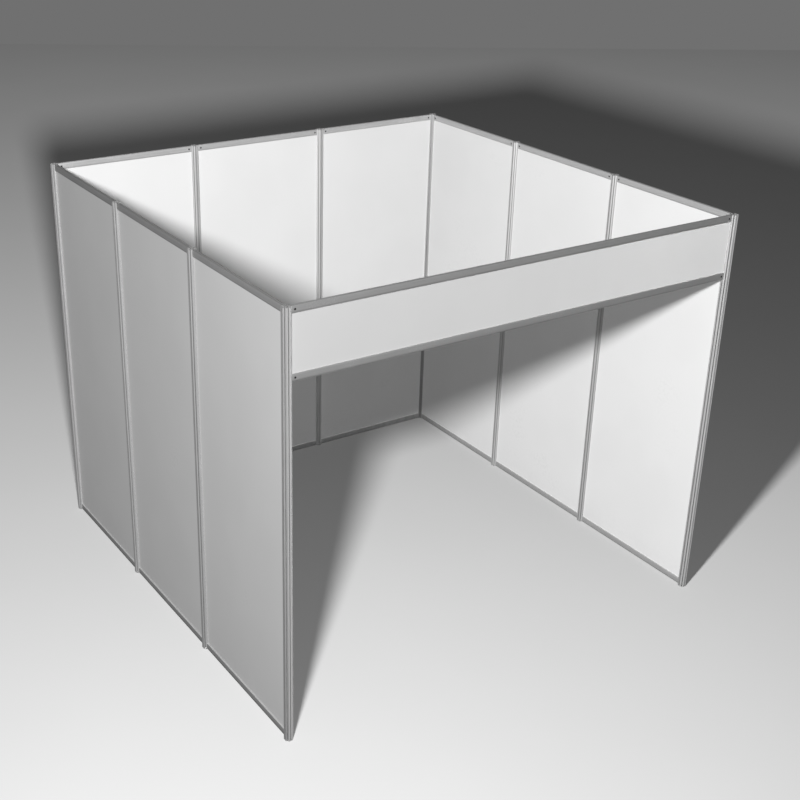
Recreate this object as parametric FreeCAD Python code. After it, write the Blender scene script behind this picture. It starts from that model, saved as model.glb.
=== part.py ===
import FreeCAD, Part
import math
import os

# Shell-scheme exhibition booth, three bays by three: panelled left, rear and right walls,
# an open front, and a fascia board held between two beams above the opening.
# Millimetres. Origin on the floor at the middle of the plan, +X right along the front,
# +Y from the open front to the rear wall, +Z up.

# Plan and height
BAYS_PER_SIDE = 3
BAY = 984.0
STAND_HEIGHT = 2500.0
FASCIA_VISIBLE_HEIGHT = 307.0

# Panels and the fascia board
PANEL_THICKNESS = 4.0
PANEL_SLOT_ENTRY = 10.0
PANEL_TOP_CLEARANCE = 3.0

# Posts: octagonal extrusion with a slot in each side and a round core
POST_SIDES = 8
POST_ACROSS_FLATS = 48.0
POST_CORE_ACROSS_FLATS = 18.0
POST_WEB = 2.0
SLOT_LIP = 2.2
SLOT_SIDE_CLEARANCE = 0.8

# Levelling feet: a hexagon head on a screw that runs in the post's core
FOOT_HEAD_THICKNESS = 5.0
FOOT_HEAD_ACROSS_FLATS = 34.0
FOOT_HEAD_SIDES = 6
FOOT_STEM_RADIUS = 6.0
FOOT_STEM_LENGTH = 50.0
FOOT_STEM_CLEARANCE = 0.1

# Rails and fascia beams: thin-walled extrusion with a lipped panel groove top and bottom
RAIL_HEIGHT = 40.0
RAIL_THICKNESS = 18.0
RAIL_WALL = 1.5
GROOVE_SIDE_CLEARANCE = 0.5

# Tension locks: cassette in the rail's end, hooked fork, and cam turned by a hexagon key
LOCK_FROM_RAIL_END = 20.0
LOCK_HOLE_RADIUS = 5.5
CASSETTE_LENGTH = 38.0
CASSETTE_SETBACK = 1.0
CASSETTE_CLEARANCE = 0.3
CASSETTE_WALL = 1.8
FORK_SLOT_CLEARANCE = 0.5
FORK_HEIGHT = 12.4
FORK_ARM = 1.2
FORK_BRIDGE = 2.5
FORK_WINDOW_RIB = 1.0
HOOK_REACH = 1.5
HOOK_THICKNESS = 2.2
HOOK_TAPER = 1.2
TUNNEL_CLEARANCE = 0.2
GUIDE_FIN_LENGTH = 8.0
CAM_HEAD_RADIUS = 6.0
CAM_BORE_CLEARANCE = 0.1
CAM_THROW = 1.25
CAM_LOBE_RADIUS = 2.8
CAM_LOBE_PLAY = 0.4
CAM_END_PLAY = 0.1
CAM_SOCKET_ACROSS_FLATS = 6.0
CAM_SOCKET_DEPTH = 3.5
KEY_SIDES = 6

# Sides that stand for a circle in the many small rounds: key holes, post bores, foot screws
ROUND_SIDES = 12

# How far a cutting tool runs past the face that it opens
OVERRUN = 1.0

# Sizes that follow
HALF_SPAN = BAYS_PER_SIDE * BAY / 2
POST_HALF = POST_ACROSS_FLATS / 2
POST_CORE_HALF = POST_CORE_ACROSS_FLATS / 2
POST_BORE_RADIUS = FOOT_STEM_RADIUS + FOOT_STEM_CLEARANCE
POST_BASE = FOOT_HEAD_THICKNESS
SLOT_HALF = PANEL_THICKNESS / 2 + SLOT_SIDE_CLEARANCE
RAIL_HALF = RAIL_THICKNESS / 2
GROOVE_HALF = PANEL_THICKNESS / 2 + GROOVE_SIDE_CLEARANCE
RAIL_INNER_HALF = RAIL_HALF - RAIL_WALL
RAIL_LENGTH = BAY - POST_ACROSS_FLATS
BEAM_LENGTH = BAYS_PER_SIDE * BAY - POST_ACROSS_FLATS
TOP_RAIL_BASE = STAND_HEIGHT - RAIL_HEIGHT
LOWER_BEAM_BASE = TOP_RAIL_BASE - FASCIA_VISIBLE_HEIGHT - RAIL_HEIGHT
FORK_HALF = SLOT_HALF - FORK_SLOT_CLEARANCE
TUNNEL_HALF_WIDTH = FORK_HALF + TUNNEL_CLEARANCE
TUNNEL_HALF_HEIGHT = FORK_HEIGHT / 2 + TUNNEL_CLEARANCE
HOOK_TIP = SLOT_LIP + HOOK_THICKNESS
CASSETTE_HALF_WIDTH = RAIL_INNER_HALF - CASSETTE_CLEARANCE
CASSETTE_HALF_HEIGHT = TUNNEL_HALF_HEIGHT + CASSETTE_WALL
CHAMBER_HALF_HEIGHT = CASSETTE_HALF_HEIGHT + CASSETTE_CLEARANCE
GROOVE_DEPTH = RAIL_HEIGHT / 2 - CHAMBER_HALF_HEIGHT - RAIL_WALL

X_AXIS = FreeCAD.Vector(1, 0, 0)
Y_AXIS = FreeCAD.Vector(0, 1, 0)
Z_AXIS = FreeCAD.Vector(0, 0, 1)
ORIGIN = FreeCAD.Vector(0, 0, 0)


def prism(outline, along):
    """Solid swept from a closed outline of points along a vector."""
    wire = Part.makePolygon(outline + outline[:1])
    return Part.Face(wire).extrude(along)


def block(low, high):
    """Box between two opposite corners."""
    size = high - low
    return Part.makeBox(size.x, size.y, size.z, low)


def regular_prism(sides, across_flats, height, centre, axis):
    """Regular prism standing on centre along an axis."""
    corner_radius = across_flats / 2 / math.cos(math.pi / sides)
    turn = FreeCAD.Rotation(Z_AXIS, axis)
    outline = []
    for k in range(sides):
        angle = 2 * math.pi * (k + 1 / 2) / sides
        spoke = FreeCAD.Vector(math.cos(angle), math.sin(angle), 0) * corner_radius
        outline.append(centre + turn.multVec(spoke))
    return prism(outline, axis * height)


def moved(shape, x, y, z):
    """Copy of a shape shifted by x, y and z."""
    copy = shape.copy()
    copy.translate(FreeCAD.Vector(x, y, z))
    return copy


def mirrored(shape, normal):
    """Copy of a shape mirrored in the plane through the origin with this normal."""
    return shape.mirror(ORIGIN, normal)


def turned(shape, inward):
    """Copy of a shape on the front side, turned about the upright middle axis to the side
    whose inward direction is given."""
    turn = FreeCAD.Rotation(inward.cross(Z_AXIS), inward, Z_AXIS)
    return shape.transformed(FreeCAD.Placement(ORIGIN, turn).toMatrix())


def post_section():
    """Outline of the post: for each side a lipped slot between two webs."""
    half_step = math.pi / POST_SIDES
    side_half = POST_HALF * math.tan(half_step)
    web_half = POST_WEB / 2 / math.cos(half_step)
    under_lip = POST_HALF - SLOT_LIP
    mouth = under_lip * math.tan(half_step) - web_half
    root = POST_CORE_HALF * math.tan(half_step) - web_half
    one_side = [
        (POST_HALF, -side_half),
        (POST_HALF, -SLOT_HALF),
        (under_lip, -SLOT_HALF),
        (under_lip, -mouth),
        (POST_CORE_HALF, -root),
        (POST_CORE_HALF, root),
        (under_lip, mouth),
        (under_lip, SLOT_HALF),
        (POST_HALF, SLOT_HALF),
    ]
    outline = []
    for k in range(POST_SIDES):
        turn = FreeCAD.Rotation(Z_AXIS, math.degrees(2 * k * half_step))
        for out, across in one_side:
            outline.append(turn.multVec(FreeCAD.Vector(out, across, POST_BASE)))
    return outline


def round_rod(radius, length, start, axis):
    """Rod or drill of a small radius, with few sides."""
    return regular_prism(ROUND_SIDES, 2 * radius, length, start, axis)


def post():
    """Slotted octagonal post standing on its levelling foot, axis on the origin."""
    length = STAND_HEIGHT - POST_BASE
    profile = prism(post_section(), Z_AXIS * length)
    bore_base = FreeCAD.Vector(0, 0, POST_BASE - OVERRUN)
    bore = round_rod(POST_BORE_RADIUS, length + 2 * OVERRUN, bore_base, Z_AXIS)
    return profile.cut(bore)


def levelling_foot():
    """Hexagon-headed levelling screw, screwed fully in, standing on the floor."""
    head = regular_prism(
        FOOT_HEAD_SIDES, FOOT_HEAD_ACROSS_FLATS, FOOT_HEAD_THICKNESS, ORIGIN, Z_AXIS
    )
    stem_length = FOOT_HEAD_THICKNESS + FOOT_STEM_LENGTH
    stem = round_rod(FOOT_STEM_RADIUS, stem_length, ORIGIN, Z_AXIS)
    return head.fuse(stem).removeSplitter()


def rail_section(x):
    """Outline of a rail across its length, with a lipped groove top and bottom."""
    lower_half = [
        (-RAIL_HALF, 0),
        (-GROOVE_HALF, 0),
        (-GROOVE_HALF, RAIL_WALL),
        (-RAIL_INNER_HALF, RAIL_WALL),
        (-RAIL_INNER_HALF, GROOVE_DEPTH),
        (RAIL_INNER_HALF, GROOVE_DEPTH),
        (RAIL_INNER_HALF, RAIL_WALL),
        (GROOVE_HALF, RAIL_WALL),
        (GROOVE_HALF, 0),
        (RAIL_HALF, 0),
    ]
    upper_half = [(-across, RAIL_HEIGHT - up) for across, up in lower_half]
    return [FreeCAD.Vector(x, across, up) for across, up in lower_half + upper_half]


def lock_hole(x):
    """Drill for a lock's key hole through the front wall of a rail."""
    start = FreeCAD.Vector(x, -RAIL_HALF - OVERRUN, RAIL_HEIGHT / 2)
    return round_rod(LOCK_HOLE_RADIUS, RAIL_WALL + 2 * OVERRUN, start, Y_AXIS)


def rail(length):
    """Rail or beam centred on x = 0, its base on z = 0, with key holes in its front face."""
    end = length / 2
    profile = prism(rail_section(-end), X_AXIS * length)
    middle = RAIL_HEIGHT / 2
    chamber = block(
        FreeCAD.Vector(-end - OVERRUN, -RAIL_INNER_HALF, middle - CHAMBER_HALF_HEIGHT),
        FreeCAD.Vector(end + OVERRUN, RAIL_INNER_HALF, middle + CHAMBER_HALF_HEIGHT),
    )
    hole_x = end - LOCK_FROM_RAIL_END
    return profile.cut([chamber, lock_hole(-hole_x), lock_hole(hole_x)])


def board(opening_width, visible_height, base):
    """Flat panel in an opening, its edges in the grooves and slots round it."""
    half_width = opening_width / 2 + PANEL_SLOT_ENTRY
    top = base + visible_height + GROOVE_DEPTH - PANEL_TOP_CLEARANCE
    return block(
        FreeCAD.Vector(-half_width, -PANEL_THICKNESS / 2, base - GROOVE_DEPTH),
        FreeCAD.Vector(half_width, PANEL_THICKNESS / 2, top),
    )


def cassette_block():
    """Outer block of a lock. The post's face is x = 0, the lock's middle z = 0."""
    return block(
        FreeCAD.Vector(CASSETTE_SETBACK, -CASSETTE_HALF_WIDTH, -CASSETTE_HALF_HEIGHT),
        FreeCAD.Vector(
            CASSETTE_SETBACK + CASSETTE_LENGTH, CASSETTE_HALF_WIDTH, CASSETTE_HALF_HEIGHT
        ),
    )


def cassette():
    """Lock housing: fork tunnel with a guide fin at its mouth, and the cam's bore."""
    tunnel = block(
        FreeCAD.Vector(CASSETTE_SETBACK - OVERRUN, -TUNNEL_HALF_WIDTH, -TUNNEL_HALF_HEIGHT),
        FreeCAD.Vector(
            CASSETTE_SETBACK + CASSETTE_LENGTH + OVERRUN, TUNNEL_HALF_WIDTH, TUNNEL_HALF_HEIGHT
        ),
    )
    fin_half = FORK_HALF - FORK_ARM - TUNNEL_CLEARANCE
    fin = block(
        FreeCAD.Vector(CASSETTE_SETBACK, -fin_half, -TUNNEL_HALF_HEIGHT),
        FreeCAD.Vector(CASSETTE_SETBACK + GUIDE_FIN_LENGTH, fin_half, TUNNEL_HALF_HEIGHT),
    )
    front = FreeCAD.Vector(LOCK_FROM_RAIL_END, -CASSETTE_HALF_WIDTH - OVERRUN, 0)
    head_bore = Part.makeCylinder(
        CAM_HEAD_RADIUS + CAM_BORE_CLEARANCE, CASSETTE_HALF_WIDTH + OVERRUN, front, Y_AXIS
    )
    return cassette_block().cut([tunnel, head_bore]).fuse(fin)


def hook_outline(z):
    """Outer half of the fork's hook in plan, from the neck to the tip."""
    return [
        FreeCAD.Vector(-SLOT_LIP, FORK_HALF, z),
        FreeCAD.Vector(-SLOT_LIP, FORK_HALF + HOOK_REACH, z),
        FreeCAD.Vector(-HOOK_TIP + HOOK_TAPER, FORK_HALF + HOOK_REACH, z),
        FreeCAD.Vector(-HOOK_TIP, FORK_HALF, z),
    ]


def reflected(points):
    """The same points on the other side of y = 0, in reverse order."""
    return [FreeCAD.Vector(p.x, -p.y, p.z) for p in reversed(points)]


def hooked_fork():
    """Clamped fork: two sprung arms with hooks behind the slot's lips, and a cam window."""
    base = -FORK_HEIGHT / 2
    lobe_x = LOCK_FROM_RAIL_END + CAM_THROW
    window_reach = CAM_LOBE_RADIUS + CAM_LOBE_PLAY
    bridge_face = lobe_x + window_reach + FORK_WINDOW_RIB
    gap_half = FORK_HALF - FORK_ARM
    tail = FreeCAD.Vector(bridge_face + FORK_BRIDGE, FORK_HALF, base)
    inside_tip = FreeCAD.Vector(-HOOK_TIP, gap_half, base)
    inside_root = FreeCAD.Vector(bridge_face, gap_half, base)
    arm = [tail] + hook_outline(base) + [inside_tip, inside_root]
    outline = arm + reflected(arm)
    window_half_height = CAM_LOBE_RADIUS + CAM_THROW + CAM_LOBE_PLAY
    window = block(
        FreeCAD.Vector(lobe_x - window_reach, -FORK_HALF - OVERRUN, -window_half_height),
        FreeCAD.Vector(lobe_x + window_reach, FORK_HALF + OVERRUN, window_half_height),
    )
    return prism(outline, Z_AXIS * FORK_HEIGHT).cut(window)


def key_socket():
    """Hexagon socket for the key, opening in the lock's front face."""
    mouth = FreeCAD.Vector(LOCK_FROM_RAIL_END, -CASSETTE_HALF_WIDTH - OVERRUN, 0)
    depth = CAM_SOCKET_DEPTH + OVERRUN
    return regular_prism(KEY_SIDES, CAM_SOCKET_ACROSS_FLATS, depth, mouth, Y_AXIS)


def lock_cam():
    """Clamped cam: socket head in the housing's front wall, eccentric lobe in the fork."""
    lobe_face = -TUNNEL_HALF_WIDTH - CAM_END_PLAY
    lobe_back = TUNNEL_HALF_WIDTH - CAM_END_PLAY
    head = Part.makeCylinder(
        CAM_HEAD_RADIUS,
        CASSETTE_HALF_WIDTH + lobe_face,
        FreeCAD.Vector(LOCK_FROM_RAIL_END, -CASSETTE_HALF_WIDTH, 0),
        Y_AXIS,
    )
    lobe = Part.makeCylinder(
        CAM_LOBE_RADIUS,
        lobe_back - lobe_face,
        FreeCAD.Vector(LOCK_FROM_RAIL_END + CAM_THROW, lobe_face, 0),
        Y_AXIS,
    )
    return head.fuse(lobe).cut(key_socket())


def closed_lock():
    """Wall lock in one piece: housing, hooked head behind the lips, and key socket."""
    base = -FORK_HEIGHT / 2
    root = FreeCAD.Vector(CASSETTE_SETBACK, FORK_HALF, base)
    half_head = [root] + hook_outline(base)
    head = prism(half_head + reflected(half_head), Z_AXIS * FORK_HEIGHT)
    return cassette_block().fuse(head).cut(key_socket())


def facing(piece, inside):
    """A piece whose key holes are in front, turned over if they face the booth's inside."""
    return mirrored(piece, Y_AXIS) if inside else piece


def at_rail_ends(piece, length, rail_base):
    """A lock piece placed in a rail's left and right end on the front side."""
    middle = rail_base + RAIL_HEIGHT / 2
    left = moved(piece, -length / 2, -HALF_SPAN, middle)
    right = moved(mirrored(piece, X_AXIS), length / 2, -HALF_SPAN, middle)
    return left, right


# Posts in plan: one at each corner, and one a bay from each end of every wall
POST_PLACES = {
    "front_left_post": (-HALF_SPAN, -HALF_SPAN),
    "left_wall_front_post": (-HALF_SPAN, BAY - HALF_SPAN),
    "left_wall_rear_post": (-HALF_SPAN, HALF_SPAN - BAY),
    "rear_left_post": (-HALF_SPAN, HALF_SPAN),
    "rear_wall_left_post": (BAY - HALF_SPAN, HALF_SPAN),
    "rear_wall_right_post": (HALF_SPAN - BAY, HALF_SPAN),
    "rear_right_post": (HALF_SPAN, HALF_SPAN),
    "right_wall_rear_post": (HALF_SPAN, HALF_SPAN - BAY),
    "right_wall_front_post": (HALF_SPAN, BAY - HALF_SPAN),
    "front_right_post": (HALF_SPAN, -HALF_SPAN),
}

# Each wall is built on the front side and turned to the side with this inward direction.
# Its bays are named in the order that they then follow, and the last value says whether
# the key holes of its bottom rails face the booth's inside.
WALLS = [
    ("left_wall", X_AXIS, ("rear", "middle", "front"), True),
    ("rear_wall", -Y_AXIS, ("right", "middle", "left"), False),
    ("right_wall", -X_AXIS, ("front", "middle", "rear"), False),
]


def posts_and_feet():
    """Every post and the foot under it, by name."""
    pieces = {}
    one_post = post()
    one_foot = levelling_foot()
    for name, (x, y) in POST_PLACES.items():
        pieces[name] = moved(one_post, x, y, 0)
        pieces[name.replace("_post", "_foot")] = moved(one_foot, x, y, 0)
    return pieces


def wall_pieces():
    """Rails and panels of the three walls by name, and the locks in the rails' ends."""
    pieces = {}
    locks = []
    one_rail = rail(RAIL_LENGTH)
    panel_base = POST_BASE + RAIL_HEIGHT
    panel = board(RAIL_LENGTH, TOP_RAIL_BASE - panel_base, panel_base)
    one_lock = closed_lock()
    for wall, inward, bays, bottom_inside in WALLS:
        levels = (("bottom_rail", POST_BASE, bottom_inside), ("top_rail", TOP_RAIL_BASE, True))
        for number, bay in enumerate(bays):
            x = (number - (BAYS_PER_SIDE - 1) / 2) * BAY
            pieces[f"{wall}_{bay}_panel"] = turned(moved(panel, x, -HALF_SPAN, 0), inward)
            for level, base, inside in levels:
                placed = moved(facing(one_rail, inside), x, -HALF_SPAN, base)
                pieces[f"{wall}_{bay}_{level}"] = turned(placed, inward)
                for end_lock in at_rail_ends(facing(one_lock, inside), RAIL_LENGTH, base):
                    locks.append(turned(moved(end_lock, x, 0, 0), inward))
    pieces["wall_locks"] = Part.makeCompound(locks)
    return pieces


def fascia_pieces():
    """Fascia beams, board and the four working locks, by name."""
    pieces = {}
    cassettes = []
    beam = rail(BEAM_LENGTH)
    board_base = LOWER_BEAM_BASE + RAIL_HEIGHT
    fascia = board(BEAM_LENGTH, FASCIA_VISIBLE_HEIGHT, board_base)
    pieces["fascia_board"] = moved(fascia, 0, -HALF_SPAN, 0)
    for level, base in (("upper", TOP_RAIL_BASE), ("lower", LOWER_BEAM_BASE)):
        pieces[f"fascia_{level}_beam"] = moved(beam, 0, -HALF_SPAN, base)
        cassettes.extend(at_rail_ends(cassette(), BEAM_LENGTH, base))
        forks = at_rail_ends(hooked_fork(), BEAM_LENGTH, base)
        cams = at_rail_ends(lock_cam(), BEAM_LENGTH, base)
        for side, fork, cam in zip(("left", "right"), forks, cams):
            pieces[f"fascia_{level}_{side}_lock_fork"] = fork
            pieces[f"fascia_{level}_{side}_lock_cam"] = cam
    pieces["fascia_lock_cassettes"] = Part.makeCompound(cassettes)
    return pieces


def main():
    """Write every piece of the booth to its own file."""
    os.makedirs("parts", exist_ok=True)
    pieces = {}
    pieces.update(posts_and_feet())
    pieces.update(wall_pieces())
    pieces.update(fascia_pieces())
    for name, shape in pieces.items():
        shape.exportStep(f"parts/{name}.step")
    print(len(pieces), "pieces written")


main()
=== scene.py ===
"""Exhibition booth, three bays by three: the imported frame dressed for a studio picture.

Metres. Origin on the floor at the middle of the plan, +X right along the front, +Y from the
open front to the rear wall, +Z up.
"""

import logging
import math
from abc import ABC, abstractmethod
from dataclasses import dataclass, field
from enum import Enum

import bmesh
import bpy
from mathutils import Matrix, Vector


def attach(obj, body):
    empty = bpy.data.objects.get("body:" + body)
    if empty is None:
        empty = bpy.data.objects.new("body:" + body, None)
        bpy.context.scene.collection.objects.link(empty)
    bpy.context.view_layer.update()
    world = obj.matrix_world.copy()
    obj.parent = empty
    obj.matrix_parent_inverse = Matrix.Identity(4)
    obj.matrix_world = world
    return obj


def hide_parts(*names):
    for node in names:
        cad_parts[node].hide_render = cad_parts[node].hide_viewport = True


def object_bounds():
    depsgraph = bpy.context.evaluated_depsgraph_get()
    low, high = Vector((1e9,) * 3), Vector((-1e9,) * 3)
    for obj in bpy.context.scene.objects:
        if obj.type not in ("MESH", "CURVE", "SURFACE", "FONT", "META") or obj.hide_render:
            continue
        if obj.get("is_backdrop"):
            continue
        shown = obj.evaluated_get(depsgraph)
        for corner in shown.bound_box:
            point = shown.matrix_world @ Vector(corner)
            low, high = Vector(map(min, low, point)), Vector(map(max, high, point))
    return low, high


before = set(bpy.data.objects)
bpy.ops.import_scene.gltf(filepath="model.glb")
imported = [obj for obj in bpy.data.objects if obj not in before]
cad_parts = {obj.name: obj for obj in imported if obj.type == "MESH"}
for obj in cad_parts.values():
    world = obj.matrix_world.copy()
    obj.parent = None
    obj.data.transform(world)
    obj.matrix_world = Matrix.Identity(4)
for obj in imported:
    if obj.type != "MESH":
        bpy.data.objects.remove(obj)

log = logging.getLogger("booth")

Flat = tuple[float, float]
Spot = tuple[float, float, float]
Loop = list[Flat]
Corner = tuple[Flat, float]
Mesh = bmesh.types.BMesh
Ring = list[bmesh.types.BMVert]
Socket = bpy.types.NodeSocket
Outlets = bpy.types.NodeOutputs
Inlets = bpy.types.NodeInputs

MM = 0.001
BODY = "booth"

# Measures that the sub-assemblies share
BAY = 0.984  # from the middle of a post to the middle of the next
WALL_LINE = 1.5 * BAY  # from the middle of the plan to the middle of a wall
FLOOR_GAP = 5 * MM  # under the posts and the bottom rails
TOP_BASE = 2.46  # under the top rails and the upper beam

# Limits that the mesh making goes by
ARC_STEPS = 3  # parts of a rounded corner
SAME = 1e-9  # distance under which two places are one
END_LEAN = 0.5  # lean towards x from which a face belongs to an end
SHARP_ANGLE = math.radians(32)  # bend from which an edge stays sharp

# Node sheets
NODE_STEP = 200  # from one node to the next
MIX_FIRST, MIX_SECOND, MIX_RESULT = 6, 7, 2  # a Mix node's colour sockets


# Nodes and surface effects


def grey(value: float) -> tuple[float, float, float, float]:
    """Returns a neutral colour of a linear value."""
    return (value, value, value, 1.0)


class NodeSheet:
    """Adds nodes to one node tree and joins their sockets."""

    def __init__(self, tree: bpy.types.NodeTree) -> None:
        """Starts on a tree.

        Args:
            tree: node tree that the nodes go into.
        """
        self.tree = tree
        self._column = 0

    def join(self, source: Socket, target: Socket) -> None:
        """Joins an output socket to an input socket."""
        self.tree.links.new(source, target)

    def add(
        self, kind: str, feeds: dict[str | int, object] | None = None, **settings: object
    ) -> bpy.types.Node:
        """Adds a node, sets its properties and feeds its inputs.

        Args:
            kind: Blender's type name of the node.
            feeds: socket or plain value for each input that isn't left as it is.
            **settings: properties of the node by name.

        Returns:
            The new node.
        """
        node = self.tree.nodes.new(kind)
        node.location = (self._column * NODE_STEP, 0)
        self._column += 1
        for name, value in settings.items():
            setattr(node, name, value)
        for key, value in (feeds or {}).items():
            if isinstance(value, Socket):
                self.join(value, node.inputs[key])
            else:
                node.inputs[key].default_value = value
        return node

    def maths(self, operation: str, first: object, second: object) -> Socket:
        """Adds a maths node.

        Args:
            operation: name of the sum, such as MULTIPLY.
            first: a socket or a number.
            second: a socket or a number.

        Returns:
            The node's output socket.
        """
        feeds = {0: first, 1: second}
        return self.add("ShaderNodeMath", feeds, operation=operation).outputs[0]

    def remap(
        self, value: Socket, low: object, high: object, start: float = 0.0, end: float = 1.0
    ) -> Socket:
        """Adds a smooth map from low..high to start..end, clamped at both ends.

        Args:
            value: socket to map.
            low: value or socket that becomes start.
            high: value or socket that becomes end.
            start: result at low.
            end: result at high.

        Returns:
            The mapped value.
        """
        feeds = {"Value": value, "From Min": low, "From Max": high, "To Min": start, "To Max": end}
        node = self.add("ShaderNodeMapRange", feeds, interpolation_type="SMOOTHSTEP")
        return node.outputs["Result"]

    def noise(self, place: Socket, scale: object, detail: float) -> Socket:
        """Adds a noise texture.

        Args:
            place: vector at which the noise is read.
            scale: number or socket, in patches a metre.
            detail: octaves of finer noise.

        Returns:
            The noise value.
        """
        feeds = {"Vector": place, "Scale": scale, "Detail": detail}
        return self.add("ShaderNodeTexNoise", feeds).outputs["Fac"]

    def blend(self, factor: Socket, first: object, second: object) -> Socket:
        """Mixes two colours.

        Args:
            factor: socket, 0 for the first colour and 1 for the second.
            first: linear grey, or the socket of a colour.
            second: linear grey, or the socket of a colour.

        Returns:
            The mixed colour.
        """
        first, second = (c if isinstance(c, Socket) else grey(c) for c in (first, second))
        feeds = {"Factor": factor, MIX_FIRST: first, MIX_SECOND: second}
        return self.add("ShaderNodeMix", feeds, data_type="RGBA").outputs[MIX_RESULT]

    def cover(self, under: Socket, mask: Socket, share: float, tone: float) -> Socket:
        """Covers a colour with a grey where a mask shows.

        Args:
            under: colour that is covered.
            mask: socket, 1 where the cover lies.
            share: how much the cover hides where the mask is 1.
            tone: linear grey of the cover.

        Returns:
            The covered colour.
        """
        return self.blend(self.maths("MULTIPLY", mask, share), under, tone)

    def surface(
        self,
        colour: Socket,
        roughness: Socket,
        metallic: float = 0.0,
        specular: float = 0.5,
        relief: tuple[tuple[Socket, float], ...] = (),
    ) -> None:
        """Adds the bumps, the shader and the material's output.

        Args:
            colour: socket that gives the base colour.
            roughness: socket that gives the roughness.
            metallic: 0 for a coating, 1 for bare metal.
            specular: strength of the shine on a coating.
            relief: height socket and depth of each bump, the lowest bump first.
        """
        under = {}
        for height, depth in relief:
            bump = self.add("ShaderNodeBump", {"Height": height, "Distance": depth, **under})
            under = {"Normal": bump.outputs["Normal"]}
        feeds = {"Base Color": colour, "Roughness": roughness, **under}
        feeds |= {"Metallic": metallic, "Specular IOR Level": specular}
        shader = self.add("ShaderNodeBsdfPrincipled", feeds)
        self.add("ShaderNodeOutputMaterial", {"Surface": shader.outputs["BSDF"]})


class Effect(ABC):
    """Surface effect kept as one node group and placed in each material that shows it."""

    name: str
    inputs: dict[str, float | Spot]
    outputs: tuple[str, ...]

    @abstractmethod
    def fill(self, sheet: NodeSheet, given: Outlets, result: Inlets) -> None:
        """Builds the effect between the group's inputs and outputs.

        Args:
            sheet: the group's node sheet.
            given: the group's inputs.
            result: the group's outputs.
        """

    def group(self) -> bpy.types.NodeTree:
        """Makes the node group at its first use.

        Returns:
            The node group.
        """
        tree = bpy.data.node_groups.get(self.name)
        if tree is None:
            tree = bpy.data.node_groups.new(self.name, "ShaderNodeTree")
            for label, default in {"Place": (0.0, 0.0, 0.0), **self.inputs}.items():
                kind = "NodeSocketVector" if isinstance(default, tuple) else "NodeSocketFloat"
                socket = tree.interface.new_socket(label, in_out="INPUT", socket_type=kind)
                socket.default_value = default
            for label in self.outputs:
                tree.interface.new_socket(label, in_out="OUTPUT", socket_type="NodeSocketFloat")
            sheet = NodeSheet(tree)
            start = sheet.add("NodeGroupInput")
            end = sheet.add("NodeGroupOutput")
            self.fill(sheet, start.outputs, end.inputs)
        return tree

    def place(self, sheet: NodeSheet, where: Socket, **values: object) -> Outlets:
        """Places the group in a material.

        Args:
            sheet: the material's node sheet.
            where: vector of the surface point.
            **values: the group's other inputs.

        Returns:
            The group's output sockets.
        """
        feeds = {"Place": where, **values}
        return sheet.add("ShaderNodeGroup", feeds, node_tree=self.group()).outputs


class DrawnLines(Effect):
    """Fine lines that the die leaves along an extrusion, with a broader band under them."""

    name = "drawn_lines"
    inputs = {"Stretch": (1.0, 1.0, 1.0)}
    outputs = ("Lines", "Bands")

    def fill(self, sheet: NodeSheet, given: Outlets, result: Inlets) -> None:
        """Stretches noise along the extrusion, once fine and once broad.

        Args:
            sheet: the group's node sheet.
            given: the group's inputs.
            result: the group's outputs.
        """
        feeds = {0: given["Place"], 1: given["Stretch"]}
        stretched = sheet.add("ShaderNodeVectorMath", feeds, operation="MULTIPLY")
        for label, scale, detail in (("Lines", 1.0, 3.0), ("Bands", 0.16, 1.0)):
            drawn = sheet.noise(stretched.outputs["Vector"], scale, detail)
            sheet.join(sheet.remap(drawn, 0.3, 0.7), result[label])


class HandlingMarks(Effect):
    """Faint rubbed patches with finer scuffs inside them, as stock shows that is hired out."""

    name = "handling_marks"
    inputs = {"Patches": 3.0, "Scuffs": 60.0, "Threshold": 0.52}
    outputs = ("Mask", "Cloud")

    def fill(self, sheet: NodeSheet, given: Outlets, result: Inlets) -> None:
        """Multiplies broad patches by fine scuffs.

        Args:
            sheet: the group's node sheet.
            given: the group's inputs.
            result: the group's outputs.
        """
        patches = sheet.noise(given["Place"], given["Patches"], 2.0)
        scuffs = sheet.noise(given["Place"], given["Scuffs"], 4.0)
        high = sheet.maths("ADD", given["Threshold"], 0.16)
        rubbed = sheet.remap(patches, given["Threshold"], high)
        fine = sheet.remap(scuffs, 0.45, 0.65)
        sheet.join(sheet.maths("MULTIPLY", rubbed, fine), result["Mask"])
        sheet.join(sheet.remap(patches, 0.3, 0.7), result["Cloud"])


class FloorDust(Effect):
    """Dust and kicked-up dirt that fades out with the height above the floor."""

    name = "floor_dust"
    inputs = {"Reach": 0.2}
    outputs = ("Mask",)

    def fill(self, sheet: NodeSheet, given: Outlets, result: Inlets) -> None:
        """Fades a noise with the height.

        Args:
            sheet: the group's node sheet.
            given: the group's inputs.
            result: the group's outputs.
        """
        parts = sheet.add("ShaderNodeSeparateXYZ", {"Vector": given["Place"]})
        fade = sheet.remap(parts.outputs["Z"], 0.0, given["Reach"], start=1.0, end=0.0)
        speckle = sheet.remap(sheet.noise(given["Place"], 35.0, 5.0), 0.35, 0.7, start=0.25)
        sheet.join(sheet.maths("MULTIPLY", fade, speckle), result["Mask"])


class RolledSkin(Effect):
    """Slight orange peel of a pressed or coated skin, over a long shallow wave."""

    name = "rolled_skin"
    inputs = {"Peel": 450.0, "Wave": 1.6}
    outputs = ("Peel", "Wave")

    def fill(self, sheet: NodeSheet, given: Outlets, result: Inlets) -> None:
        """Gives the fine peel and the wave as heights from 0 to 1."""
        sheet.join(sheet.noise(given["Place"], given["Peel"], 1.0), result["Peel"])
        sheet.join(sheet.noise(given["Place"], given["Wave"], 0.0), result["Wave"])


# Finishes


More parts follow.
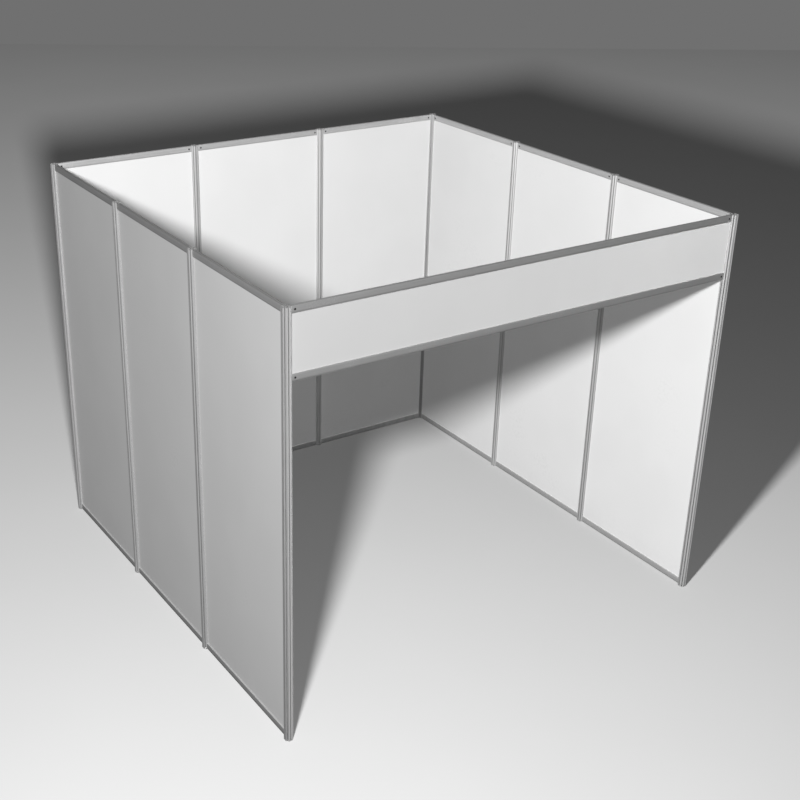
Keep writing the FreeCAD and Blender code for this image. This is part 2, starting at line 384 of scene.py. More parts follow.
@dataclass(frozen=True)
class Finish(ABC):
    """A finish that makes one material.

    Attributes:
        name: the material's name.
        slot: the record's material slot that the finish belongs to; not used.
    """

    name: str
    slot: str

    @abstractmethod
    def lay(self, sheet: NodeSheet, place: Socket) -> None:
        """Lays the finish's nodes, from the surface point to the shader.

        Args:
            sheet: the material's node sheet.
            place: vector of the surface point.
        """

    def material(self) -> bpy.types.Material:
        """Makes the material at its first use.

        Returns:
            The material.
        """
        material = bpy.data.materials.get(self.name)
        if material is None:
            material = bpy.data.materials.new(self.name)
            material.use_nodes = True
            material.node_tree.nodes.clear()
            sheet = NodeSheet(material.node_tree)
            self.lay(sheet, sheet.add("ShaderNodeTexCoord").outputs["Object"])
        return material


class Run(Enum):
    """Direction in which an extrusion was drawn, as line counts a metre along each axis."""

    UP = (800.0, 800.0, 5.0)
    ACROSS = (5.0, 800.0, 800.0)
    DEEP = (800.0, 5.0, 800.0)


@dataclass(frozen=True)
class SatinAluminium(Finish):
    """Satin anodised extrusion with drawn lines, rubbed patches and dust near the floor.

    Attributes:
        run: direction of the drawn lines.
        tone: linear grey of the anodised skin, darkened in the slot, corner and hole copies as
            painted shade.
        dusty: linear grey of the dust.
    """

    run: Run
    tone: float = 0.47
    dusty: float = 0.34

    def lay(self, sheet: NodeSheet, place: Socket) -> None:
        """Lays lines, marks and dust over the metal.

        Args:
            sheet: the material's node sheet.
            place: vector of the surface point.
        """
        lines = DrawnLines().place(sheet, place, Stretch=self.run.value)
        marks = HandlingMarks().place(sheet, place, Patches=5.0, Scuffs=140.0, Threshold=0.55)
        dust = FloorDust().place(sheet, place, Reach=0.12)
        lined = sheet.blend(lines["Lines"], self.tone * 0.93, self.tone * 1.07)
        banded = sheet.remap(lines["Bands"], 0.0, 1.0, end=0.35)
        toned = sheet.blend(banded, lined, self.tone * 0.9)
        worn = sheet.cover(toned, marks["Mask"], share=0.5, tone=self.tone * 1.25)
        colour = sheet.cover(worn, dust["Mask"], share=0.45, tone=self.dusty)
        smooth = sheet.remap(lines["Lines"], 0.0, 1.0, start=0.44, end=0.54)
        rough = sheet.maths("ADD", smooth, sheet.maths("MULTIPLY", dust["Mask"], 0.25))
        relief = ((lines["Bands"], 0.06 * MM), (lines["Lines"], 0.02 * MM))
        sheet.surface(colour, rough, metallic=0.45, relief=relief)


@dataclass(frozen=True)
class WhiteLaminate(Finish):
    """White pressed laminate of the wall panels: faint peel, long wave and light scuffs.

    Attributes:
        tone: linear grey of the clean skin.
    """

    tone: float = 0.66

    def lay(self, sheet: NodeSheet, place: Socket) -> None:
        """Lays peel, scuffs and dust over the white skin.

        Args:
            sheet: the material's node sheet.
            place: vector of the surface point.
        """
        skin = RolledSkin().place(sheet, place, Peel=420.0, Wave=1.3)
        marks = HandlingMarks().place(sheet, place, Patches=2.2, Scuffs=48.0, Threshold=0.6)
        dust = FloorDust().place(sheet, place, Reach=0.3)
        clouded = sheet.blend(marks["Cloud"], self.tone * 0.985, self.tone * 1.012)
        worn = sheet.cover(clouded, marks["Mask"], share=0.22, tone=self.tone * 0.82)
        colour = sheet.cover(worn, dust["Mask"], share=0.12, tone=self.tone * 0.7)
        smooth = sheet.remap(skin["Peel"], 0.3, 0.7, start=0.42, end=0.5)
        rough = sheet.maths("ADD", smooth, sheet.maths("MULTIPLY", marks["Mask"], 0.2))
        relief = ((skin["Wave"], 2 * MM), (skin["Peel"], 0.03 * MM))
        sheet.surface(colour, rough, specular=0.2, relief=relief)


@dataclass(frozen=True)
class FasciaFilm(Finish):
    """Light grey satin film on the fascia board, a little greyer than the wall panels.

    Attributes:
        tone: linear grey of the film.
    """

    tone: float = 0.52

    def lay(self, sheet: NodeSheet, place: Socket) -> None:
        """Lays the film's peel and a few light marks.

        Args:
            sheet: the material's node sheet.
            place: vector of the surface point.
        """
        skin = RolledSkin().place(sheet, place, Peel=650.0, Wave=2.1)
        marks = HandlingMarks().place(sheet, place, Patches=3.0, Scuffs=70.0, Threshold=0.62)
        clouded = sheet.blend(marks["Cloud"], self.tone * 0.99, self.tone * 1.01)
        colour = sheet.cover(clouded, marks["Mask"], share=0.18, tone=self.tone * 0.88)
        rough = sheet.remap(skin["Peel"], 0.3, 0.7, start=0.4, end=0.5)
        relief = ((skin["Wave"], 1 * MM), (skin["Peel"], 0.02 * MM))
        sheet.surface(colour, rough, specular=0.15, relief=relief)


@dataclass(frozen=True)
class PlatedSteel(Finish):
    """Plated steel of the feet and locks: crystal flecks, rubbed spots and dust, the locks' copy
    near black as painted shade.

    Attributes:
        tone: linear grey of the plating.
        flecks: flecks a metre.
        shine: roughness of the clean plating.
        metallic: 1 for bright metal, 0 for a surface that is no bare metal.
    """

    tone: float = 0.5
    flecks: float = 260.0
    shine: float = 0.3
    metallic: float = 0.9

    def lay(self, sheet: NodeSheet, place: Socket) -> None:
        """Lays flecks and marks over the metal.

        Args:
            sheet: the material's node sheet.
            place: vector of the surface point.
        """
        cells = sheet.add("ShaderNodeTexVoronoi", {"Vector": place, "Scale": self.flecks})
        fleck = sheet.add("ShaderNodeSeparateColor", {"Color": cells.outputs["Color"]}).outputs
        marks = HandlingMarks().place(sheet, place, Patches=30.0, Scuffs=400.0, Threshold=0.5)
        dust = FloorDust().place(sheet, place, Reach=0.03)
        flecked = sheet.blend(fleck["Red"], self.tone * 0.88, self.tone * 1.1)
        worn = sheet.cover(flecked, marks["Mask"], share=0.6, tone=self.tone * 0.6)
        colour = sheet.cover(worn, dust["Mask"], share=0.5, tone=self.tone * 0.5)
        rough = sheet.remap(fleck["Green"], 0.0, 1.0, start=self.shine, end=self.shine + 0.14)
        relief = ((marks["Cloud"], 0.04 * MM),)
        sheet.surface(colour, rough, self.metallic, specular=0.1, relief=relief)


@dataclass(frozen=True)
class StudioFloor(Finish):
    """Plain pale floor with a barely seen mottle.

    Attributes:
        tone: linear grey of the floor, which has lights of its own.
    """

    tone: float = 0.3

    def lay(self, sheet: NodeSheet, place: Socket) -> None:
        """Lays the mottle on the matt floor.

        Args:
            sheet: the material's node sheet.
            place: vector of the surface point.
        """
        marks = HandlingMarks().place(sheet, place, Patches=0.8, Scuffs=9.0, Threshold=0.5)
        colour = sheet.blend(marks["Cloud"], self.tone * 0.995, self.tone * 1.005)
        rough = sheet.remap(marks["Cloud"], 0.0, 1.0, start=0.85, end=0.95)
        sheet.surface(colour, rough, specular=0.0)


UPRIGHT = SatinAluminium("satin_aluminium_upright", "aluminium", Run.UP, tone=0.52)
# Corner posts' inner sides: a much darker tone, painted shade of the inner corner.
CORNER_PAINTED_SHADE = SatinAluminium("corner_painted_shade_aluminium", "aluminium", Run.UP, tone=0.26, dusty=0.22)
# Slot insides: a darker tone, painted shade in the recesses.
SLOT_PAINTED_SHADE = SatinAluminium("slot_painted_shade_aluminium", "aluminium", Run.UP, tone=0.34, dusty=0.28)
# Key hole linings: near black, painted shade inside the holes.
DRILLED_PAINTED_SHADE = SatinAluminium("drilled_painted_shade_aluminium", "aluminium", Run.DEEP, tone=0.06, dusty=0.06)
CROSSWISE = SatinAluminium("satin_aluminium_crosswise", "aluminium", Run.ACROSS, tone=0.5)
LENGTHWISE = SatinAluminium("satin_aluminium_lengthwise", "aluminium", Run.DEEP)
LAMINATE = WhiteLaminate("white_laminate", "white_panel")
FILM = FasciaFilm("fascia_film", "fascia_board")
ZINC = PlatedSteel("zinc_plated_steel", "zinc_steel")
# Lock cams and wall locks, seen only through the key holes: near black, painted shade in the
# holes.
LOCK_PAINTED_SHADE = PlatedSteel(
    "lock_painted_shade_steel", "lock_steel", tone=0.03, flecks=500.0, shine=0.5, metallic=0.0
)
FLOOR = StudioFloor("studio_floor", "")


# Mesh making


def turns(count: int) -> list[float]:
    """Returns the angles that part a full turn evenly."""
    return [2 * math.pi * step / count for step in range(count)]


def spoke(radius: float, angle: float) -> Flat:
    """Returns the point at an angle on a circle round 0."""
    return (radius * math.cos(angle), radius * math.sin(angle))


def eased(corners: list[Corner]) -> Loop:
    """Rounds the corners of a closed outline.

    Args:
        corners: the outline's corners in order, each with its radius, 0 for a sharp one.

    Returns:
        The outline with an arc at each rounded corner.
    """
    outline: Loop = []
    for index, (corner, radius) in enumerate(corners):
        if radius == 0:
            outline.append(corner)
            continue
        here = Vector(corner)
        back, ahead = (
            (Vector(corners[other % len(corners)][0]) - here).normalized()
            for other in (index - 1, index + 1)
        )
        half = back.angle(ahead) / 2
        centre = here + (back + ahead).normalized() * (radius / math.sin(half))
        start, end = (here + way * (radius / math.tan(half)) - centre for way in (back, ahead))
        first = math.atan2(start.y, start.x)
        sweep = (math.atan2(end.y, end.x) - first + math.pi) % (2 * math.pi) - math.pi
        for step in range(ARC_STEPS + 1):
            x, y = spoke(radius, first + sweep * step / ARC_STEPS)
            outline.append((centre.x + x, centre.y + y))
    return outline


def joined(bm: Mesh, rings: list[Ring], finish: int = 0) -> None:
    """Joins rings of vertices, each to the next.

    Args:
        bm: mesh that the faces go into.
        rings: the rings in order.
        finish: number of the faces' finish.
    """
    for first, second in zip(rings, rings[1:]):
        for index in range(len(first)):
            after = (index + 1) % len(first)
            quad = (first[index], first[after], second[after], second[index])
            bm.faces.new(quad).material_index = finish


def filled(bm: Mesh, rings: list[Ring]) -> None:
    """Fills the flat area between closed rings of vertices.

    Args:
        bm: mesh that the faces go into.
        rings: the outer ring, then the rings of the openings in it.
    """
    edges = []
    for ring in rings:
        for first, second in zip(ring, ring[1:] + ring[:1]):
            edges.append(bm.edges.get((first, second)) or bm.edges.new((first, second)))
    bmesh.ops.triangle_fill(bm, use_beauty=True, use_dissolve=False, edges=edges)


@dataclass(frozen=True)
class KeyHole:
    """Round hole with an eased mouth through the front wall of a rail.

    Attributes:
        along: distance of its middle from the rail's middle.
        up: height of its middle in the rail's section.
        radius: radius of the hole.
        ease: width and depth of the eased mouth.
        sides: sides that stand for the circle.
    """

    along: float
    up: float
    radius: float
    ease: float = 0.35 * MM
    sides: int = 28

    def ring(self, bm: Mesh, across: float, radius: float) -> Ring:
        """Adds a ring of vertices round the hole's middle.

        Args:
            bm: mesh that they go into.
            across: the plane's y.
            radius: the ring's radius.

        Returns:
            The ring's vertices in order.
        """
        ring = []
        for angle in turns(self.sides):
            x, z = spoke(radius, angle)
            ring.append(bm.verts.new((self.along + x, across, self.up + z)))
        return ring


def swept(loops: list[Loop], length: float, holes: tuple[KeyHole, ...] = ()) -> Mesh:
    """Sweeps a section along x, centred on x = 0, and drills its front wall.

    Args:
        loops: the section's outline and the outline of the hollow in it, as (y, z) points.
        length: length of the extrusion.
        holes: key holes through the wall between the outer front and the hollow's front.

    Returns:
        The new mesh.
    """
    bm = bmesh.new()
    caps: tuple[list[Ring], list[Ring]] = ([], [])
    fronts = sorted(min(y for y, _ in loop) for loop in loops)
    mouths: dict[float, list[Ring]] = {}
    for hole in holes:
        mouth = hole.ring(bm, fronts[0], hole.radius + hole.ease)
        throat = hole.ring(bm, fronts[0] + hole.ease, hole.radius)
        back = hole.ring(bm, fronts[1], hole.radius)
        # The holes' linings take the second finish, which paints shade into the holes.
        joined(bm, [mouth, throat, back], finish=1)
        mouths.setdefault(fronts[0], []).append(mouth)
        mouths.setdefault(fronts[1], []).append(back)
    for loop in loops:
        near, far = ([bm.verts.new((x, y, z)) for y, z in loop] for x in (-length / 2, length / 2))
        caps[0].append(near)
        caps[1].append(far)
        for index, (y, z) in enumerate(loop):
            after = (index + 1) % len(loop)
            quad = [near[index], near[after], far[after], far[index]]
            next_y, next_z = loop[after]
            flat = abs(y - next_y) < SAME and y in mouths
            if flat and min(z, next_z) < holes[0].up < max(z, next_z):
                filled(bm, [quad] + mouths[y])
            else:
                bm.faces.new(quad)
    for cap in caps:
        filled(bm, cap)
    bmesh.ops.recalc_face_normals(bm, faces=bm.faces)
    return bm


def put_in_scene(name: str, data: bpy.types.ID) -> bpy.types.Object:
    """Makes an object of its data and puts it in the scene.

    Args:
        name: the object's name.
        data: its mesh, lamp or camera.

    Returns:
        The new object.
    """
    thing = bpy.data.objects.new(name, data)
    bpy.context.scene.collection.objects.link(thing)
    return thing


def finished(name: str, bm: Mesh, finishes: tuple[Finish, ...]) -> bpy.types.Object:
    """Turns a mesh into an object with its finishes.

    Args:
        name: the object's name.
        bm: its mesh, which is used up.
        finishes: its finishes, in the order of the faces' material numbers.

    Returns:
        The new object.
    """
    mesh = bpy.data.meshes.new(name)
    bm.to_mesh(mesh)
    bm.free()
    for finish in finishes:
        mesh.materials.append(finish.material())
    return put_in_scene(name, mesh)


def make_piece(
    name: str, bm: Mesh, place: Matrix, finishes: tuple[Finish, ...], body: str, node: str
) -> None:
    """Turns a mesh into a piece that stands for a node of the frame.

    Args:
        name: the piece's name.
        bm: its mesh, which is used up.
        place: where it goes.
        finishes: its finishes, in the order of the faces' material numbers.
        body: body that it rides on.
        node: node that it replaces.
    """
    bm.transform(place)
    if place.determinant() < 0:
        bmesh.ops.reverse_faces(bm, faces=bm.faces)
    piece = finished(name, bm, finishes)
    piece.data.shade_smooth()
    piece.data.set_sharp_from_angle(angle=SHARP_ANGLE)
    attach(piece, body)
    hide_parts(node)
    log.info("%s: %d faces, %s", name, len(piece.data.polygons), finishes[0].name)


def dress_node(name: str, finish: Finish) -> bpy.types.Object:
    """Gives a node of the frame, whose shape is right, its finish.

    Args:
        name: the node's name.
        finish: its finish.

    Returns:
        The node.
    """
    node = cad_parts[name]
    for slot in node.material_slots:
        slot.material = finish.material()
    log.info("%s: frame node, %s", name, finish.name)
    return node


# Sub-assemblies


@dataclass
class Posts:
    """The ten slotted octagonal posts.

    Attributes:
        bay: distance between neighbouring posts.
        base: height of a post's lower end.
        top: height of its upper end.
        across: width across the octagon's flats.
        core: width across the flats of the solid core.
        web: thickness of the webs between the slots.
        lip: thickness of the lips at the slots' mouths.
        mouth: half the width of a slot's mouth.
        bore: radius of the bore down the core.
        corner_ease: rounding of the octagon's corners.
        mouth_ease: rounding of the mouths' edges.
        sides: sides of the post.
        bore_sides: sides that stand for the bore's circle.
        places: where each post stands in the plan.
    """

    bay: float = BAY
    base: float = FLOOR_GAP
    top: float = 2.5
    across: float = 48 * MM
    core: float = 18 * MM
    web: float = 2 * MM
    lip: float = 2.2 * MM
    mouth: float = 2.8 * MM
    bore: float = 6.1 * MM
    corner_ease: float = 1.2 * MM
    mouth_ease: float = 0.5 * MM
    sides: int = 8
    bore_sides: int = 32
    places: dict[str, Flat] = field(init=False)

    def __post_init__(self) -> None:
        """Works out where each post stands."""
        far, near = self.bay * 1.5, self.bay * 0.5
        self.places = {
            "front_left": (-far, -far),
            "left_wall_front": (-far, -near),
            "left_wall_rear": (-far, near),
            "rear_left": (-far, far),
            "rear_wall_left": (-near, far),
            "rear_wall_right": (near, far),
            "rear_right": (far, far),
            "right_wall_rear": (far, near),
            "right_wall_front": (far, -near),
            "front_right": (far, -far),
        }

    def section(self) -> list[Loop]:
        """Draws the post's outline with its slots, and its bore.

        Returns:
            Both as closed outlines.
        """
        half, deep = self.across / 2, self.core / 2
        lean = math.tan(math.pi / self.sides)
        web_half = self.web / 2 / math.cos(math.pi / self.sides)
        under = half - self.lip
        fine = self.mouth_ease / 2
        slot_side = [
            ((half, -self.mouth), self.mouth_ease),
            ((under, -self.mouth), fine),
            ((under, web_half - under * lean), fine),
            ((deep, web_half - deep * lean), fine),
        ]
        side = [((half, -half * lean), self.corner_ease), *slot_side]
        side += [((out, -along), ease) for (out, along), ease in reversed(slot_side)]
        corners = []
        for angle in turns(self.sides):
            cos, sin = math.cos(angle), math.sin(angle)
            for (out, along), ease in side:
                corners.append(((out * cos - along * sin, out * sin + along * cos), ease))
        return [eased(corners), [spoke(self.bore, turn) for turn in turns(self.bore_sides)]]

    def mark(self, bm: Mesh, inward: Vector | None) -> None:
        """Gives the slot insides the second finish and a corner's inner side the third, both
        darkened as painted shade.

        Args:
            bm: mesh of a post that lies along x.
            inward: direction to the stand's middle, in a corner post's section.
        """
        rim = self.across / 2 - self.mouth_ease * 1.5
        for face in bm.faces:
            _, y, z = face.calc_center_median()
            middle = Vector((y, z))
            if abs(face.normal.x) >= END_LEAN:
                continue
            # Faces inside the slots take the second finish, darker as painted shade.
            if max(y * math.cos(turn) + z * math.sin(turn) for turn in turns(self.sides)) < rim:
                face.material_index = 1
            # A corner post's inner side takes the third finish, darker as painted shade.
            if inward is not None and middle.length > self.core / 2:
                if middle.angle(inward) < math.pi / self.sides:
                    face.material_index = 2

    def build(self) -> None:
        """Builds and dresses every post, the corner posts with painted shade on their inner side.
        """
        upright = Matrix(((0, 1, 0, 0), (0, 0, 1, 0), (1, 0, 0, 0), (0, 0, 0, 1)))
        middle = (self.base + self.top) / 2
        finishes = (UPRIGHT, SLOT_PAINTED_SHADE, CORNER_PAINTED_SHADE)
        for name, (x, y) in self.places.items():
            place = Matrix.Translation((x, y, middle)) @ upright
            bm = swept(self.section(), self.top - self.base)
            self.mark(bm, Vector((-x, -y)) if abs(x) == abs(y) else None)
            make_piece(f"{name}_extrusion", bm, place, finishes, BODY, f"{name}_post")


@dataclass
class Feet:
    """The levelling feet: chamfered hexagon heads on threaded stems.

    Attributes:
        posts: the posts that stand on them.
        across: width across the head's flats.
        sides: sides of the head.
        head: thickness of the head.
        chamfer: chamfer of the head's edges.
        crest: radius over the thread.
        root: radius under the thread.
        pitch: rise of the thread in a turn.
        stem: length of the stem above the head.
        segments: sides that stand for the thread's circle.
        rows_a_turn: rings of vertices in a turn of the thread.
    """

    posts: Posts
    across: float = 34 * MM
    sides: int = 6
    head: float = 5 * MM
    chamfer: float = 0.7 * MM
    crest: float = 6 * MM
    root: float = 5.3 * MM
    pitch: float = 1.75 * MM
    stem: float = 50 * MM
    segments: int = 20
    rows_a_turn: int = 6

    def head_mesh(self, bm: Mesh) -> None:
        """Adds the hexagon head, its edges chamfered.

        Args:
            bm: mesh that it goes into.
        """
        half = math.pi / self.sides
        wide = self.across / 2 / math.cos(half)
        narrow = wide - self.chamfer
        angles = [half + 2 * half * corner for corner in range(self.sides)]
        rings = []
        for height, radius in (
            (0.0, narrow),
            (self.chamfer, wide),
            (self.head - self.chamfer, wide),
            (self.head, narrow),
        ):
            rings.append([bm.verts.new((*spoke(radius, angle), height)) for angle in angles])
        joined(bm, rings)
        bm.faces.new(rings[0])
        bm.faces.new(rings[-1])

    def thread_mesh(self, bm: Mesh) -> None:
        """Adds the stem, its surface rising and falling with the thread.

        Args:
            bm: mesh that it goes into.
        """
        rows = round(self.stem / self.pitch * self.rows_a_turn)
        rings = []
        for row in range(rows + 1):
            height = self.stem * row / rows
            ring = []
            for step in range(self.segments):
                turn = step / self.segments
                phase = (height / self.pitch - turn) % 1
                depth = abs(2 * phase - 1)
                radius = self.crest - (self.crest - self.root) * depth
                point = (*spoke(radius, 2 * math.pi * turn), self.head + height)
                ring.append(bm.verts.new(point))
            rings.append(ring)
        joined(bm, rings)
        bm.faces.new(rings[-1])

    def build(self) -> None:
        """Builds and dresses every foot."""
        for name, (x, y) in self.posts.places.items():
            bm = bmesh.new()
            self.head_mesh(bm)
            self.thread_mesh(bm)
            bmesh.ops.recalc_face_normals(bm, faces=bm.faces)
            foot = f"{name}_foot"
            place = Matrix.Translation((x, y, 0))
            make_piece(f"{foot}_screw", bm, place, (ZINC,), foot, foot)


@dataclass
class RailStock:
    """Thin-walled extrusion of which rails and beams are cut.

    Attributes:
        height: height of the section.
        thickness: thickness of the section.
        wall: wall thickness.
        groove: half the width of the panel grooves' mouths.
        groove_depth: depth of the grooves.
        key_radius: radius of the key holes.
        key_inset: distance of the key holes from the rail's ends.
        outer_ease: rounding of the outer corners.
        lip_ease: rounding of the grooves' lips.
        lower_lean: how far the lower lips lean inwards over the groove's depth.
        upper_lean: how far the upper lips do.
        bend: rounding where the leaning starts.
    """

    height: float = 40 * MM
    thickness: float = 18 * MM
    wall: float = 1.5 * MM
    groove: float = 2.5 * MM
    groove_depth: float = 10 * MM
    key_radius: float = 5.5 * MM
    key_inset: float = 20 * MM
    outer_ease: float = 0.9 * MM
    lip_ease: float = 0.35 * MM
    lower_lean: float = 3 * MM
    upper_lean: float = 0.5 * MM
    bend: float = 4 * MM

    def groove_half(self, lean: float) -> list[Corner]:
        """Outlines one half of the section with its groove, open side down.

        Args:
            lean: how far its lips lean inwards.

        Returns:
            The corners in order, each with its rounding.
        """
        half, inner = self.thickness / 2, self.thickness / 2 - self.wall
        left = [
            ((-half, self.groove_depth), self.bend),
            ((lean - half, 0.0), self.outer_ease),
            ((-self.groove, 0.0), self.lip_ease),
            ((-self.groove, self.wall), 0.0),
            ((lean - inner, self.wall), self.lip_ease),
            ((-inner, self.groove_depth), self.lip_ease),
        ]
        return left + [((-across, up), ease) for (across, up), ease in reversed(left)]

    def section(self) -> list[Loop]:
        """Draws the outline with its two grooves, and the chamber between them.

        Returns:
            Both as closed outlines.
        """
        inner = self.thickness / 2 - self.wall
        turned = self.groove_half(self.upper_lean)
        upper = [((-across, self.height - up), ease) for (across, up), ease in turned]
        floor = self.groove_depth + self.wall
        roof = self.height - floor
        chamber = [(-inner, floor), (inner, floor), (inner, roof), (-inner, roof)]
        return [eased(self.groove_half(self.lower_lean) + upper), chamber]

    def cut(self, length: float) -> Mesh:
        """Cuts a rail to length and drills its key holes.

        Args:
            length: the rail's length.

        Returns:
            The rail's mesh, along x.
        """
        reach = length / 2 - self.key_inset
        holes = (KeyHole(along, self.height / 2, self.key_radius) for along in (-reach, reach))
        return swept(self.section(), length, tuple(holes))


class Level(Enum):
    """The two levels at which a wall has rails."""

    TOP = "top"
    BOTTOM = "bottom"


@dataclass(frozen=True)
class Wall:
    """One panelled wall.

    Attributes:
        name: first part of its pieces' names.
        turn: quarter turns from the front side, counted from above against the clock.
        bays: names of its bays, from left to right as seen from outside.
        keys_inside: whether the bottom rails' key holes face the booth's inside.
        finish: finish of its rails.
    """

    name: str
    turn: int
    bays: tuple[str, str, str]
    keys_inside: bool
    finish: Finish


@dataclass
class Walls:
    """The left, rear and right walls: rails, panels and the locks in the rails' ends.

    Attributes:
        stock: extrusion of the rails.
        bay: distance between neighbouring posts.
        rail_length: length of a rail.
        offset: distance of a wall from the middle of the plan.
        bottom: height of the bottom rails' lower side.
        top: height of the top rails' lower side.
        walls: the three walls.
    """

    stock: RailStock
    bay: float = BAY
    rail_length: float = 0.936
    offset: float = WALL_LINE
    bottom: float = FLOOR_GAP
    top: float = TOP_BASE
    walls: tuple[Wall, ...] = (
        Wall("left_wall", 3, ("rear", "middle", "front"), True, LENGTHWISE),
        Wall("rear_wall", 2, ("right", "middle", "left"), False, CROSSWISE),
        Wall("right_wall", 1, ("front", "middle", "rear"), False, LENGTHWISE),
    )

    def rail(self, wall: Wall, bay: int, level: Level) -> None:
        """Builds and dresses one rail.

        Args:
            wall: wall that it belongs to.
            bay: number of its bay, from 0.
            level: level at which it lies.
        """
        inside = wall.keys_inside or level is Level.TOP
        flip = Matrix.Scale(-1, 4, (0, 1, 0)) if inside else Matrix.Identity(4)
        base = self.top if level is Level.TOP else self.bottom
        shift = Matrix.Translation(((bay - 1) * self.bay, -self.offset, base))
        place = Matrix.Rotation(wall.turn * math.pi / 2, 4, "Z") @ shift @ flip
        name = f"{wall.name}_{wall.bays[bay]}_{level.value}_rail"
        bm = self.stock.cut(self.rail_length)
        make_piece(f"{name}_extrusion", bm, place, (wall.finish, DRILLED_PAINTED_SHADE), BODY, name)

    def build(self) -> None:
        """Builds and dresses the three walls, whose panels throw no light on other things."""
        for wall in self.walls:
            for bay, bay_name in enumerate(wall.bays):
                for level in Level:
                    self.rail(wall, bay, level)
                panel = dress_node(f"{wall.name}_{bay_name}_panel", LAMINATE)
                panel.visible_diffuse = False
        dress_node("wall_locks", LOCK_PAINTED_SHADE)


@dataclass
class Fascia:
    """The board over the open front, its two beams, and the locks in their ends.

    Attributes:
        stock: extrusion of the beams.
        length: length of the beams.
        offset: distance of the fascia from the middle of the plan.
        lower: height of the lower beam's lower side.
        upper: height of the upper beam's lower side.
    """

    stock: RailStock
    length: float = 2.904
    offset: float = WALL_LINE
    lower: float = 2.113
    upper: float = TOP_BASE

    def build(self) -> None:
        """Builds and dresses the beams, the locks and the board, which throws no light."""
        for level, base in (("upper", self.upper), ("lower", self.lower)):
            place = Matrix.Translation((0, -self.offset, base))
            name = f"fascia_{level}_beam"
            bm = self.stock.cut(self.length)
            make_piece(f"{name}_extrusion", bm, place, (CROSSWISE, DRILLED_PAINTED_SHADE), BODY, name)
            for side in ("left", "right"):
                dress_node(f"fascia_{level}_{side}_lock_fork", ZINC)
                dress_node(f"fascia_{level}_{side}_lock_cam", LOCK_PAINTED_SHADE)
        board = dress_node("fascia_board", FILM)
        board.visible_diffuse = False
        dress_node("fascia_lock_cassettes", ZINC)


# Studio


class Lit(Enum):
    """Which objects a lamp lights, of those that it is linked to."""

    THESE = "INCLUDE"
    ALL_BUT_THESE = "EXCLUDE"


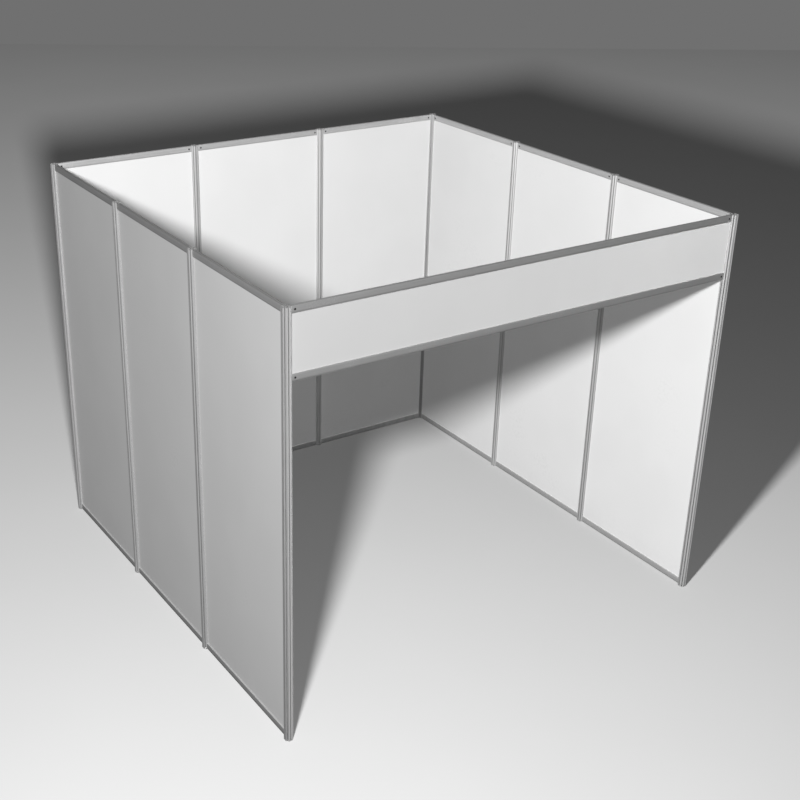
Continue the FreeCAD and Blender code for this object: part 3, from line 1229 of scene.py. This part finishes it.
@dataclass
class Studio:
    """Floor, backdrop, lights and camera.

    Attributes:
        azimuth: camera's turn from looking along +Y towards +X, in degrees.
        elevation: camera's downward look, in degrees.
        roll: camera's turn about its line of sight, in degrees.
        camera_place: where the camera stands.
        lens: focal length, in the sensor's unit.
        sensor: width of the sensor.
        shift: sideways shift of the picture.
        sight: distance up to which the camera sees.
        lamp_radius: radius of every lamp.
        key_place: where the key light hangs.
        key_strength: strength of the key light at any distance.
        fill_strength: strength of the soft fill from the key's side.
        floor_strength: strength of the light that brings the floor up to the walls' level.
        floor_fill_strength: strength of the soft fill on the floor alone.
        front_place: where the light hangs that evens out the front.
        front_strength: strength of that light.
        post_place: where the light for the two front posts hangs.
        post_strength: strength of that light.
        rear_place: where the light for the rear wall's outside hangs, lower than the walls.
        side_place: where the light for the right wall's outside hangs.
        rear_strength: strength of these two lights.
        ambient: linear grey of the room's light.
        backdrop: linear grey of the backdrop.
        floor_half: half the floor's width.
        floor_parts: parts of the floor along each side.
        floor_turn: turn of the floor that sets its far edge level in the picture, in degrees.
    """

    azimuth: float = 32.474
    elevation: float = 24.783
    roll: float = 0.807
    camera_place: Spot = (-4.2877, -6.4048, 4.6438)
    lens: float = 58.891
    sensor: float = 36.0
    shift: float = 0.07
    sight: float = 200.0
    lamp_radius: float = 0.15
    key_place: Spot = (-3.16, -3.4526, 3.6327)
    key_strength: float = 47.8
    fill_strength: float = 12.1
    floor_strength: float = 101.6
    floor_fill_strength: float = 28.7
    front_place: Spot = (1.22, -2.65, 2.6)
    front_strength: float = 25.5
    post_place: Spot = (3.5, -6.3, 1.4)
    post_strength: float = 30.0
    rear_place: Spot = (1.52, 9.0, 2.4)
    side_place: Spot = (9.0, 1.52, 2.4)
    rear_strength: float = 24.0
    ambient: float = 0.03
    backdrop: float = 0.162
    floor_half: float = 19.54
    floor_parts: int = 24
    floor_turn: float = -30.44

    def floor(self) -> bpy.types.Object:
        """Lays the floor, its far edge level in the picture.

        Returns:
            The floor.
        """
        bm = bmesh.new()
        parts = self.floor_parts
        bmesh.ops.create_grid(bm, x_segments=parts, y_segments=parts, size=self.floor_half)
        floor = finished("studio_floor", bm, (FLOOR,))
        floor.rotation_euler.z = math.radians(self.floor_turn)
        floor.visible_diffuse = False
        floor.visible_glossy = False
        floor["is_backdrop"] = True
        return floor

    def lamp(
        self,
        name: str,
        place: Spot,
        strength: float,
        shadows: bool,
        linked: list[bpy.types.Object],
        lit: Lit = Lit.THESE,
        shines: bool = False,
    ) -> None:
        """Hangs a round lamp whose light doesn't weaken with the distance.

        Args:
            name: its name.
            place: where it hangs.
            strength: its strength.
            shadows: whether it casts shadows.
            linked: the objects that it is linked to.
            lit: which objects it lights.
            shines: whether it shows in the shine of a surface.
        """
        light = bpy.data.lights.new(name, "POINT")
        light.energy = 1.0
        light.shadow_soft_size = self.lamp_radius
        light.use_shadow = shadows
        light.use_nodes = True
        sheet = NodeSheet(light.node_tree)
        emission = next(n for n in light.node_tree.nodes if n.type == "EMISSION")
        falloff = sheet.add("ShaderNodeLightFalloff", {"Strength": strength})
        sheet.join(falloff.outputs["Constant"], emission.inputs["Strength"])
        lamp = put_in_scene(name, light)
        lamp.location = place
        lamp.visible_glossy = shines
        group = bpy.data.collections.new(f"{name}_linking")
        for index, thing in enumerate(linked):
            group.objects.link(thing)
            group.collection_objects[index].light_linking.link_state = lit.value
        lamp.light_linking.receiver_collection = group

    def lights(self, floor: bpy.types.Object) -> None:
        """Hangs the key light, its fills, and the lights for floor, front, posts and rear.

        Args:
            floor: the studio floor.
        """
        key, stand = self.key_place, Lit.ALL_BUT_THESE
        posts = [bpy.data.objects[f"front_{side}_extrusion"] for side in ("left", "right")]
        front = [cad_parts["fascia_board"], posts[0]]
        self.lamp("key_light", key, self.key_strength, True, [floor], stand, shines=True)
        self.lamp("fill_light", key, self.fill_strength, False, [floor], stand)
        self.lamp("floor_light", key, self.floor_strength, True, [floor])
        self.lamp("floor_fill_light", key, self.floor_fill_strength, False, [floor])
        self.lamp("front_light", self.front_place, self.front_strength, False, front)
        self.lamp("post_light", self.post_place, self.post_strength, True, posts)
        self.lamp("rear_light", self.rear_place, self.rear_strength, False, [floor], stand)
        self.lamp("side_light", self.side_place, self.rear_strength, False, [floor], stand)

    def room(self) -> None:
        """Sets the room's dim light, and the backdrop's grey behind the floor."""
        world = bpy.data.worlds.new("studio_room")
        bpy.context.scene.world = world
        world.use_nodes = True
        world.node_tree.nodes.clear()
        sheet = NodeSheet(world.node_tree)
        dim, seen = (
            sheet.add("ShaderNodeBackground", {"Color": grey(tone)}).outputs["Background"]
            for tone in (self.ambient, self.backdrop)
        )
        path = sheet.add("ShaderNodeLightPath").outputs["Is Camera Ray"]
        mix = sheet.add("ShaderNodeMixShader", {"Fac": path, 1: dim, 2: seen})
        sheet.add("ShaderNodeOutputWorld", {"Surface": mix.outputs["Shader"]})

    def camera(self) -> None:
        """Sets up the camera at the photograph's viewing angle."""
        data = bpy.data.cameras.new("photo_camera")
        data.sensor_width = self.sensor
        data.lens = self.lens
        data.shift_x = self.shift
        data.clip_end = self.sight
        camera = put_in_scene("photo_camera", data)
        camera.matrix_world = (
            Matrix.Translation(self.camera_place)
            @ Matrix.Rotation(-math.radians(self.azimuth), 4, "Z")
            @ Matrix.Rotation(math.radians(90 - self.elevation), 4, "X")
            @ Matrix.Rotation(math.radians(self.roll), 4, "Z")
        )
        bpy.context.scene.camera = camera

    def build(self) -> None:
        """Sets up the whole studio."""
        self.lights(self.floor())
        self.room()
        self.camera()
        bpy.context.scene.view_settings.view_transform = "Standard"


def rounded_bounds() -> list[list[float]]:
    """Returns the shown object's lowest and highest corner as plain numbers."""
    bpy.context.view_layer.update()
    return [[round(value, 5) for value in corner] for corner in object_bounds()]


def main() -> None:
    """Builds the booth piece by piece, then the studio."""
    logging.basicConfig(level=logging.INFO, format="%(name)s: %(message)s")
    cad_box = rounded_bounds()
    stock = RailStock()
    posts = Posts()
    for assembly in (posts, Feet(posts), Walls(stock), Fascia(stock), Studio()):
        assembly.build()
        log.info("%s done", type(assembly).__name__)
    boxes = {"cad": cad_box, "visual": rounded_bounds()}
    log.info("boxes: %s", boxes)


if __name__ == "__main__":
    main()
